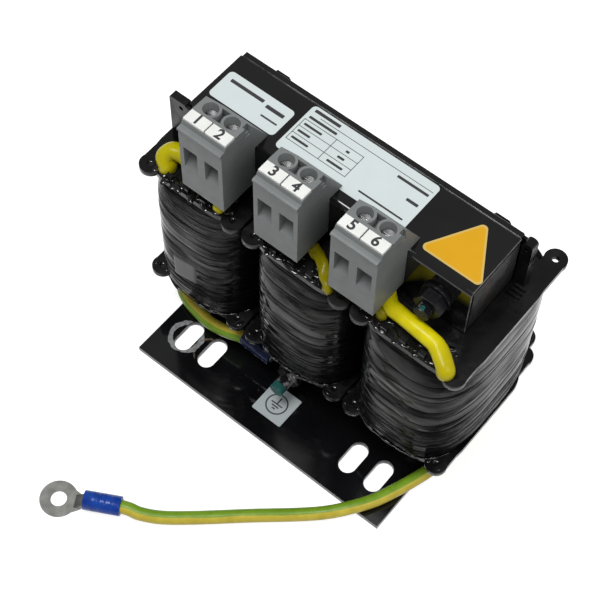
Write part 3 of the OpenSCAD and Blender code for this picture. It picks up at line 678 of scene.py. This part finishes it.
def make_leads(bright, shade_soak, dark):
    """The six sleeved coil leads. Each has its block, pole, way and end, how much it grows along its
    length, its thickness, how far it is folded and flattened, and its look."""
    near = [((i - 1) * COIL_PITCH - 11.06, -22.5) for i in range(3)]
    far = [((i - 1) * COIL_PITCH + x, -EAR_Y) for i, x in enumerate((10.4, 11.8, 13.5))]
    over_left = [(-2.2, 0.6, 0), (-6, 1.1, 0.2), (-10.2, 1.2, 2.3), (-13.8, 0.2, 3), (-14.96, -1.79, 1.2)]
    across = [
        (1.2, 3.2, 0), (5, 4.8, 0), (8.6, 4.4, 0), (11, 2.2, 0.05), (13.4, 0.3, 0.4), (17, -0.2, 0.8),
        (21.2, -0.6, 0.9), (28.6, -1.3, 0.85), (31.2, -2.0, 0.6), (34, -3.6, 0.1),
    ]
    down = [(3.9, 1.4, 0.35), (8.4, -0.6, 0.45), (11.5, -3.1, -0.3)]
    behind = (near[1][0] + 0.8, near[1][1] + 1.6)
    left_ear = (far[0][0], far[0][1] + 0.4)
    middle_ear = (far[1][0], far[1][1] - 0.5)
    right_ear = (far[2][0], far[2][1] - 0.8)
    # Leads given the second and third looks get darkened copies of the first: painted shade, the second
    # over some varnish soak.
    ways = {
        "start_lead_1": (0, -1, over_left, near[0], 0.26, 1.0, 0.05, 0.08, shade_soak),
        "start_lead_2": (1, -1, [(0.2, 0.6, 0)], behind, 0.0, 0.75, 0.05, 0.0, shade_soak),
        "start_lead_3": (2, -1, across, right_ear, 0.16, 1.0, 0.03, 0.1, bright),
        "end_lead_1": (0, 1, [(-0.2, -1.6, 0)], left_ear, 0.0, 0.7, 0.10, 0.0, shade_soak),
        "end_lead_2": (1, 1, down, middle_ear, 0.0, 0.78, 0.17, 0.2, dark),
        "end_lead_3": (2, 1, [(1.4, -1.2, -0.4)], near[2], 0.0, 0.68, 0.06, 0.0, dark),
    }
    for name, (block, side, way, end, grow, thick, fold, flat, look) in ways.items():

        def radius(part):
            return LEAD_D / 2 * thick * (1 + grow * part) * (0.985 + 0.015 * math.sin(31 * part))

        path = smooth_path(lead_route(block, side, way, end), 10)
        piece = tube("sleeved_" + name, path, radius, 28, look.material, None, fold, flat)
        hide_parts(name)


def coil_taper(t):
    """How much shallower a winding is at part t of its height, near its two ends."""
    high = 4.4 * np.power(np.maximum(0, t - 0.75) * 4, 1.5)
    low = 2 * np.power(np.maximum(0, 0.2 - t) * 5, 2)
    return high + low


def band_lines(arc, length, pick, widths):
    """Lines round a winding where one turn of tape laps the next, from its foot to its top."""
    around = 2 * math.pi * arc / length
    lines = []
    at = COIL_LOW + 1.1
    while at < COIL_HIGH - 3.2:
        line = np.full_like(arc, at)
        if lines:
            for turns in (1, 2, 3, 5):
                swing = pick.uniform(0.03, 0.24) / turns ** 0.5
                line += swing * np.sin(turns * around + pick.uniform(0, 6.3))
        lines.append(line)
        part = (at - COIL_LOW) / (COIL_HIGH - COIL_LOW)
        at += (widths[0] + (widths[1] - widths[0]) * part) * pick.choice((0.6, 0.85, 1.0, 1.15, 1.35))
    lines.append(np.full_like(arc, COIL_HIGH - 1.1))
    return lines


def fade_round(around, pick):
    """How far a lap shows at each place round the winding, from faint to full."""
    fade = np.zeros_like(around)
    for turns in (2, 3, 5, 9):
        fade += np.sin(turns * around + pick.uniform(0, 6.3))
    return np.clip(0.7 + 0.35 * fade, 0.15, 1)


def gaps_round(arc, length, pick):
    """Short places where a lap stands open."""
    gap = np.zeros_like(arc)
    for _ in range(pick.choice((1, 2, 3, 4))):
        off = np.abs(arc - pick.uniform(0, length))
        off = np.minimum(off, length - off)
        gap = np.maximum(gap, np.exp(-(off / pick.uniform(1.2, 3.6)) ** 2))
    return gap


def winding_rows(arc, turn, length, seed, widths, swell):
    """Heights and relief of a taped winding, row by row, with rows that follow the laps."""
    pick = random.Random(seed)
    around = 2 * math.pi * arc / length
    lines = band_lines(arc, length, pick, widths)
    rows = []
    for low, high in zip(lines, lines[1:]):
        fade = fade_round(around, pick)
        gap = gaps_round(arc, length, pick)
        lip = pick.choice((0.04, 0.07, 0.12, 0.20)) * fade
        groove = pick.uniform(0.28, 0.5) * fade + 0.5 * gap
        bulge = swell * pick.uniform(0.5, 1.0)
        for offset, share in ((0.0, 0.0), (0.12, 0.55), (0.22, 0.95), (LAP_RISE, 1.0)):
            depth = lip * share - (groove if share == 0 else 0)
            rows.append((low + offset * (1 + 2.2 * gap), depth))
        inner_low = low + LAP_RISE * (1 + 2.2 * gap)
        inner_high = high - LAP_FALL
        for step in range(1, 8):
            part = step / 8
            height = inner_low + part * (inner_high - inner_low)
            rows.append((height, lip * (1 - part) ** 5 + bulge * math.sin(math.pi * part)))
        rows.append((inner_high, np.zeros_like(arc)))
        rows.append((high - 0.26, np.full_like(arc, -0.04)))
        rows.append((high - 0.12, -0.8 * groove))
    heights = np.array([row[0] for row in rows])
    relief = np.array([row[1] for row in rows])
    creased = 0.3 + 0.7 * (0.5 + 0.5 * np.cos(turn - math.radians(-115))) ** 2
    for _ in range(10):
        along = 2 * math.pi / pick.uniform(14, 60)
        across = 2 * math.pi / pick.uniform(2.2, 7)
        depth = pick.uniform(0.006, 0.022)
        wave = np.sin(arc * along + heights * across + pick.uniform(0, 6.3))
        relief = relief + creased * depth * wave
    for _ in range(DIMPLES):
        centre = pick.uniform(0, length)
        level = COIL_LOW + 2 + (COIL_HIGH - COIL_LOW - 4) * pick.random() ** 1.5
        off = np.abs(arc - centre)
        off = np.minimum(off, length - off) / pick.uniform(3, 11)
        rise = (heights - level - pick.uniform(-0.06, 0.06) * (arc - centre)) / pick.uniform(0.5, 1.1)
        relief = relief + creased * pick.uniform(-0.12, 0.10) * np.exp(-off ** 2 - rise ** 2)
    return heights, relief


def squared_oval(turn):
    """X and Y of a winding's plan at an angle, each from -1 to 1."""
    c = np.cos(turn)
    s = np.sin(turn)
    return np.sign(c) * np.abs(c) ** COIL_POWER, np.sign(s) * np.abs(s) ** COIL_POWER


def make_coil(name, x, seed, widths, swell, look):
    """One varnished winding: a squared oval in plan, with its top and bottom closed in."""
    sides = 380
    turn = np.linspace(0, 2 * math.pi, sides, endpoint=False)
    plan_x, plan_y = squared_oval(turn)
    step = np.hypot(np.diff(plan_x * COIL_W / 2, append=plan_x[0] * COIL_W / 2),
                    np.diff(plan_y * COIL_D / 2, append=plan_y[0] * COIL_D / 2))
    arc = np.concatenate(([0], np.cumsum(step)[:-1]))
    heights, relief = winding_rows(arc, turn, float(step.sum()), seed, widths, swell)
    relief = np.clip(relief, -0.95, 0.28)
    rim = [(13, 0.0), (3.0, 0.0), (1.2, 0.05), (0.5, 0.3), (0.15, 0.7)]
    low = [np.full(sides, COIL_LOW + up) for inset, up in rim]
    high = [np.full(sides, COIL_HIGH - up) for inset, up in reversed(rim)]
    z = np.vstack(low + [heights] + high)
    pull = np.vstack([np.full(sides, -inset) for inset, up in rim] + [relief]
                     + [np.full(sides, -inset) for inset, up in reversed(rim)]) - COIL_INSET
    part = (z - COIL_LOW) / (COIL_HIGH - COIL_LOW)
    px = x + plan_x * (COIL_W / 2 + pull)
    py = plan_y * (COIL_D / 2 - coil_taper(part) / 2 + pull)
    points = np.stack((px, py, z), axis=-1).reshape(-1, 3)
    faces = grid_faces(len(z), sides, True)
    piece = add_mesh("winding_" + name, points.tolist(), faces, look.material, True)
    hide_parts("coil_" + name)


def make_tape_end(look):
    """A short tape end stuck down low on the front of the left winding, over its laps."""
    columns = 16
    lines = 14
    left = -46.2
    wide = 10.2
    foot = 34.6
    slant = 2.6
    tall = 11.8
    points = []
    for j in range(lines + 1):
        for i in range(columns + 1):
            x = left + wide * i / columns
            z = foot + slant * i / columns + tall * j / lines
            rim = i in (0, columns) or j in (0, lines)
            reach = COIL_D / 2 - (0.75 if rim else 0.02)
            bow = (1 - abs((x + COIL_PITCH) / (COIL_W / 2)) ** 3) ** (1 / 3)
            points.append((x, -reach * bow, z))
    faces = grid_faces(lines + 1, columns + 1, False)
    add_mesh("tape_end_left", points, faces, look.material, True)


def dome(points, faces, at, radius, rise, long=1.0, way=0.0):
    """Adds a low bead, or a dish where the rise is negative, to lists of points and faces; a bead may be
    longer one way."""
    sides = 12
    rings = 4
    first = len(points)
    for ring in range(rings):
        reach = math.cos(0.5 * math.pi * ring / rings)
        lift = math.sin(0.5 * math.pi * ring / rings)
        for k in range(sides):
            turn = 2 * math.pi * k / sides
            u = radius * long * reach * math.cos(turn)
            v = radius * reach * math.sin(turn)
            dx = u * math.cos(way) - v * math.sin(way)
            dy = u * math.sin(way) + v * math.cos(way)
            points.append((at[0] + dx, at[1] + dy, at[2] + rise * lift))
    points.append((at[0], at[1], at[2] + rise))
    faces.extend(grid_faces(rings, sides, True, first))
    top = first + (rings - 1) * sides
    for k in range(sides):
        faces.append((top + k, top + (k + 1) % sides, first + rings * sides))


def make_beads(look):
    """Hardened beads of varnish on the flanges, and the varnish that fills most of the ears' holes."""
    pick = random.Random(7)
    for name, centre in (("left", -COIL_PITCH), ("middle", 0.0), ("right", COIL_PITCH)):
        points = []
        faces = []
        for number in range(BEADS):
            x = pick.uniform(-14, 14)
            edge = 26.0 if abs(x) < 9 else 25.0
            at = (centre + x, -edge + 6.5 * pick.random() ** 2, FLANGE_Z - 0.15)
            large = number % 2 == 0
            radius = pick.uniform(0.8, 1.6) if large else pick.uniform(0.3, 0.7)
            rise = pick.uniform(0.3, 0.65)
            longer = pick.uniform(1.0, 2.4)
            dome(points, faces, at, radius, rise, longer, pick.uniform(0, math.pi))
        for side in (-1, 1):
            at = (centre + side * EAR_X, -EAR_Y)
            dome(points, faces, (*at, FLANGE_Z - 0.1), EAR_HOLE / 2 + 0.02, -0.4)
            dome(points, faces, (*at, COIL_LOW - 0.1), EAR_HOLE / 2 + 0.02, -0.4)
            for _ in range(2):
                away = pick.uniform(2.0, 2.7)
                turn = pick.uniform(math.pi, 2 * math.pi)
                spot = (at[0] + away * math.cos(turn), at[1] + away * math.sin(turn), COIL_LOW - 0.1)
                radius = pick.uniform(0.4, 0.8)
                rise = pick.uniform(0.2, 0.4)
                dome(points, faces, spot, radius, rise, pick.uniform(1.2, 2.0), turn + 1.6)
        add_mesh("varnish_beads_" + name, points, faces, look.material, True)
        make_rim(name, centre, pick, look)


def make_rim(name, centre, pick, look):
    """A run of varnish along the front of a winding's lower edge."""
    steps = 120
    path = []
    for step in range(steps + 1):
        x, y = squared_oval(math.radians(-146 + 112 * step / steps))
        x = centre + x * (COIL_W / 2 - COIL_INSET)
        path.append(np.array((x, y * (COIL_D / 2 - 0.9), COIL_LOW + 0.15)))
    waves = [(pick.uniform(9, 60), pick.uniform(0, 6.3)) for _ in range(6)]

    def radius(part):
        swing = sum(math.sin(rate * part + start) for rate, start in waves)
        return 0.16 + 0.09 * max(0.0, 1.2 + swing)

    tube("varnish_rim_" + name, path, radius, 10, look.material)


def plate(name, outline, low, high, material):
    """A thin flat piece from a plan outline, in millimetres."""
    count = len(outline)
    points = [(x, y, low) for x, y in outline] + [(x, y, high) for x, y in outline]
    faces = [list(range(count - 1, -1, -1)), list(range(count, 2 * count))]
    for k in range(count):
        m = (k + 1) % count
        faces.append((k, m, m + count, k + count))
    add_mesh(name, points, faces, material)


def rounded(x0, y0, x1, y1, r, steps=6):
    """Outline of a rectangle with round corners."""
    outline = []
    centres = [(x1 - r, y1 - r), (x0 + r, y1 - r), (x0 + r, y0 + r), (x1 - r, y0 + r)]
    for corner, (cx, cy) in enumerate(centres):
        for k in range(steps + 1):
            turn = math.radians(90 * corner + 90 * k / steps)
            outline.append((cx + r * math.cos(turn), cy + r * math.sin(turn)))
    return outline


def square_cut(x0, y0, x1, y1):
    """Outline of a rectangle."""
    return [(x0, y0), (x1, y0), (x1, y1), (x0, y1)]


def rounded_triangle(corners, r):
    """Outline of a triangle, its corners rounded to r, given counter-clockwise."""
    steps = 6
    outline = []
    for k in range(3):
        before = Vector(corners[k - 1])
        at = Vector(corners[k])
        after = Vector(corners[(k + 1) % 3])
        u = (before - at).normalized()
        v = (after - at).normalized()
        half = u.angle(v) / 2
        centre = at + (u + v).normalized() * (r / math.sin(half))
        reach = r / math.tan(half)
        a = at + u * reach - centre
        b = at + v * reach - centre
        for m in range(steps + 1):
            mixed = (a * (1 - m / steps) + b * (m / steps)).normalized() * r
            outline.append(tuple(centre + mixed))
    return outline


def flat_ring(name, cx, cy, r_in, r_out, low, high, material):
    """A flat ring, for the round frame of a symbol."""
    sides = 56
    low_in, low_out, high_in, high_out = (j * sides for j in range(4))
    points = []
    for z in (low, high):
        for r in (r_in, r_out):
            for k in range(sides):
                turn = 2 * math.pi * k / sides
                points.append((cx + r * math.cos(turn), cy + r * math.sin(turn), z))
    faces = []
    for k in range(sides):
        m = (k + 1) % sides
        faces.append((low_out + k, low_out + m, high_out + m, high_out + k))
        faces.append((low_in + m, low_in + k, high_in + k, high_in + m))
        faces.append((high_in + k, high_out + k, high_out + m, high_in + m))
        faces.append((low_in + m, low_out + m, low_out + k, low_in + k))
    add_mesh(name, points, faces, material)


def make_labels(white, ink, amber, pale):
    """Generic labels on the cover: ruled white fields and a plain amber sticker."""
    face = COVER_TOP + LABEL_T
    top = face + PRINT_T
    plate("label_small", rounded(-48.6, -6.2, -24.3, 4.6, 1.4), COVER_TOP, face, white)
    plate("label_large", rounded(-22.0, -8.2, 23.4, 10.3, 1.4), COVER_TOP, face, white)
    bars = [
        (-46.4, 1.2, -34.0, 2.4), (-32.6, 0.4, -26.0, 1.7), (-31.8, -2.7, -25.8, -2.1),
        (-20.6, 8.3, -11.4, 9.4), (-20.6, 5.6, -10.6, 6.5), (11.4, 5.3, 22.2, 6.2),
        (-20.2, 2.8, -13.8, 3.6), (-5.0, 2.8, -3.8, 3.6),
        (-20.2, -0.1, -15.8, 0.7), (-5.8, -0.1, -3.4, 0.7),
        (-20.2, -3.0, -14.2, -2.2), (-7.4, -3.0, -1.8, -2.2),
        (18.0, 0.6, 22.0, 1.6), (6.0, -5.5, 21.4, -4.9),
    ]
    for number, bar in enumerate(bars):
        plate(f"label_bar_{number}", rounded(*bar, 0.2, 2), face, top, ink)
    rules = [(-21.2, y, 0.3, y + 0.2) for y in (4.6, 1.7, -1.2, -4.1)]
    rules += [(x, -4.1, x + 0.2, 4.8) for x in (-21.2, -9.6, 0.1)]
    rules += [(-17.6, 7.3, 22.6, 7.5)]
    for number, rule in enumerate(rules):
        plate(f"label_rule_{number}", square_cut(*rule), face, top, ink)
    corners = [(29.6, -9.1), (51.2, -9.1), (40.2, 9.4)]
    middle = Vector((sum(c[0] for c in corners) / 3, sum(c[1] for c in corners) / 3))
    inner = [tuple(middle + (Vector(c) - middle) * 0.9) for c in corners]
    plate("amber_sticker", rounded_triangle(corners, 1.4), COVER_TOP, face, pale)
    plate("amber_field", rounded_triangle(inner, 1.0), face, top, amber)


def make_earth_mark(grey, ink):
    """The protective-earth mark on the foot below the stud."""
    x = -1.2
    y = -32.0
    half = 5.9
    face = FOOT_TOP + LABEL_T
    top = face + PRINT_T
    field = rounded(x - half, y - half, x + half, y + half, 0.5)
    plate("earth_sticker", field, FOOT_TOP, face, grey)
    flat_ring("earth_ring", x, y, 3.35, 3.85, face, top, ink)
    strokes = [
        (-0.25, 0.3, 0.25, 2.7), (-2.2, -0.2, 2.2, 0.3), (-1.4, -1.15, 1.4, -0.65),
        (-0.65, -2.1, 0.65, -1.6),
    ]
    for number, (x0, y0, x1, y1) in enumerate(strokes):
        outline = square_cut(x + x0, y + y0, x + x1, y + y1)
        plate(f"earth_stroke_{number}", outline, face, top, ink)


def make_numerals(ink):
    """Plain numbers 1 to 6 on the marker tags."""
    for number in range(6):
        x = BLOCK_X[number // 2] + (-1 if number % 2 == 0 else 1) * BLOCK_W / 4
        curve = bpy.data.curves.new(f"numeral_curve_{number + 1}", "FONT")
        curve.body = str(number + 1)
        curve.size = NUMERAL_H * MM
        curve.extrude = 0.01 * MM
        curve.bevel_depth = NUMERAL_BOLD * MM
        curve.bevel_resolution = 0
        curve.align_x = "CENTER"
        curve.align_y = "CENTER"
        source = add_object(f"numeral_source_{number + 1}", curve)
        graph = bpy.context.evaluated_depsgraph_get()
        mesh = bpy.data.meshes.new_from_object(source.evaluated_get(graph))
        bpy.data.objects.remove(source)
        mesh.transform(Matrix.Diagonal((1, 1, 0.12, 1)))
        mesh.transform(Matrix.Translation(Vector((x, TAG_Y, TAG_TOP + PRINT_T)) * MM))
        mesh.materials.clear()
        mesh.materials.append(ink)
        piece = add_object(f"numeral_{number + 1}", mesh)
        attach(piece, "root")


def dress(name, look, round_mm=0.0, edge=None):
    """Gives a CAD node its material, and rounds its edges without touching its mesh."""
    node = nodes[name]
    node.data.materials.clear()
    node.data.materials.append(look.material)
    if edge is not None:
        node.data.materials.append(edge.material)
    if round_mm:
        weld = node.modifiers.new("weld", "WELD")
        weld.merge_threshold = 1e-6
        flat = node.modifiers.new("flat", "DECIMATE")
        flat.decimate_type = "DISSOLVE"
        flat.angle_limit = math.radians(0.5)
        rim = node.modifiers.new("rim", "BEVEL")
        rim.width = round_mm * MM
        rim.segments = 2
        rim.limit_method = "ANGLE"
        rim.angle_limit = math.radians(35)
        rim.harden_normals = True
        if edge is not None:
            rim.material = 1


def dress_nodes():
    """A finish for every CAD node that stays in view."""
    cover = lacquer_look("cover_lacquer", 0.05)
    strip = lacquer_look("strip_lacquer", 0.09)
    foot = foot_look()
    edge = rubbed_and_highlit_edge_look()
    core = core_look()
    bobbin = bobbin_look()
    block = block_look()
    tag = tag_look()
    plain = steel_look("plated_steel")
    dipped = steel_look("varnished_steel", 0.72)
    earth = steel_look("varnished_steel_earth", 0.57)
    upper_rod = threaded(steel_look("thread_upper", 0.68, -18.6, 0, 93.2))
    earth_rod = threaded(steel_look("thread_earth", 0.56, -30.0))
    rod = threaded(steel_look("thread_plain", 0.62))
    lug = lug_look()
    # Painted shade over varnish soak: the earth lug's sleeve is a far darker copy of the blue.
    shade_soak = sleeve_look("lug_sleeve_soak_and_shade", 0.10, nodes["earth_lug_sleeve"], (1, 0))
    blue = sleeve_look("lug_sleeve_blue", 0.92, nodes["free_lug_sleeve"], (-0.87, -0.49))
    dress("e_core", core)
    dress("top_yoke", core)
    dress("gap_spacers", spacer_look())
    dress("foot_bracket_front", foot, 0.25, edge)
    dress("foot_bracket_rear", foot, 0.25, edge)
    dress("top_cover", cover, 0.25, edge)
    dress("clamp_strip_rear", strip, 0.25, edge)
    for side in ("left", "middle", "right"):
        dress("bobbin_" + side, bobbin, 0.3)
    for number in ("1", "2", "3"):
        dress("terminal_block_" + number, block, 0.22)
        dress("marker_tags_" + number, tag, 0.15)
        dress("terminal_screws_" + number, plain, 0.1)
        dress("clamp_cages_" + number, plain, 0.1)
    dress("upper_bolts", upper_rod)
    dress("lower_bolts", rod)
    dress("earth_stud", earth_rod)
    for place, finish in (("upper", dipped), ("lower", dipped), ("earth", earth)):
        dress(place + "_nuts", finish, 0.3)
        dress(place + "_washers", finish, 0.1)
    dress("earth_lug", lug, 0.12)
    dress("free_lug", lug, 0.12)
    dress("earth_lug_sleeve", shade_soak, 0.3)
    dress("free_lug_sleeve", blue, 0.3)


def make_floor():
    """A plain floor that takes the shadow and shows white when it is seen, directly or in gloss."""
    material = bpy.data.materials.new("floor_white")
    material.use_nodes = True
    tree = material.node_tree
    tree.nodes.clear()
    out = tree.nodes.new("ShaderNodeOutputMaterial")
    both = tree.nodes.new("ShaderNodeAddShader")
    paint = tree.nodes.new("ShaderNodeBsdfDiffuse")
    paint.inputs["Color"].default_value = (FLOOR_PAINT, FLOOR_PAINT, FLOOR_PAINT, 1)
    glow = tree.nodes.new("ShaderNodeEmission")
    rays = tree.nodes.new("ShaderNodeLightPath")
    seen = rays.outputs["Is Camera Ray"]
    for kind in ("Is Glossy Ray", "Is Transmission Ray"):
        either = tree.nodes.new("ShaderNodeMath")
        either.operation = "MAXIMUM"
        tree.links.new(seen, either.inputs[0])
        tree.links.new(rays.outputs[kind], either.inputs[1])
        seen = either.outputs["Value"]
    level = tree.nodes.new("ShaderNodeMath")
    level.operation = "MULTIPLY"
    level.inputs[1].default_value = FLOOR_GLOW
    tree.links.new(seen, level.inputs[0])
    tree.links.new(level.outputs["Value"], glow.inputs["Strength"])
    tree.links.new(paint.outputs["BSDF"], both.inputs[0])
    tree.links.new(glow.outputs["Emission"], both.inputs[1])
    tree.links.new(both.outputs["Shader"], out.inputs["Surface"])
    mesh = bpy.data.meshes.new("floor")
    reach = 12
    corners = [(x, y, 0) for x, y in square_cut(-reach, -reach, reach, reach)]
    mesh.from_pydata(corners, [], [(0, 1, 2, 3)])
    floor = add_object("floor", mesh)
    mesh.materials.append(material)


def add_lamp(name, at, size, power):
    """A square soft light at a place, turned to the part, in metres and watts."""
    data = bpy.data.lights.new(name, "AREA")
    data.shape = "SQUARE"
    data.size = size
    data.energy = power
    lamp = add_object(name, data)
    lamp.location = at
    lamp.rotation_euler = (Vector(LAMP_AIM) - Vector(at)).to_track_quat("-Z", "Y").to_euler()


def make_light():
    """An even white surround, a soft key light from above the front and a weaker fill from the right."""
    world = bpy.data.worlds.new("studio")
    world.use_nodes = True
    bpy.context.scene.world = world
    sky = world.node_tree.nodes["Background"]
    sky.inputs["Color"].default_value = (1, 1, 1, 1)
    sky.inputs["Strength"].default_value = SURROUND
    add_lamp("key", (-0.11, -0.21, 0.95), 0.32, 5.8)
    add_lamp("fill", (0.46, -0.08, 0.62), 0.45, 1.8)
    bpy.context.scene.view_settings.view_transform = "Standard"


make_camera()
make_wire(wire_look())
make_leads(
    lead_look("lead_yellow", 0.82, 45.0),
    # Painted shade over varnish soak: a darker copy of the yellow, for leads that lie partly in shade.
    lead_look("lead_yellow_soak_and_shade", 0.66),
    # Painted shade: a far darker copy of the yellow, for leads in the shade of a block.
    lead_look("lead_yellow_painted_shade", 0.30),
)
varnish = coil_look()
make_coil("left", -COIL_PITCH, 5, (3.2, 4.2), 0.08, varnish)
make_coil("middle", 0.0, 11, (2.8, 6.2), 0.10, varnish)
make_coil("right", COIL_PITCH, 23, (4.8, 4.8), 0.12, varnish)
make_tape_end(tape_look())
make_beads(drop_look())
dress_nodes()
ink = print_look("print_dark", (0.025, 0.025, 0.028)).material
make_labels(
    label_look("label_white", (0.55, 0.605, 0.605)).material,
    ink,
    label_look("sticker_amber", (0.60, 0.31, 0.005)).material,
    label_look("sticker_pale", (0.55, 0.385, 0.105)).material,
)
make_earth_mark(label_look("sticker_grey", (0.35, 0.385, 0.395)).material, ink)
make_numerals(ink)
make_floor()
make_light()
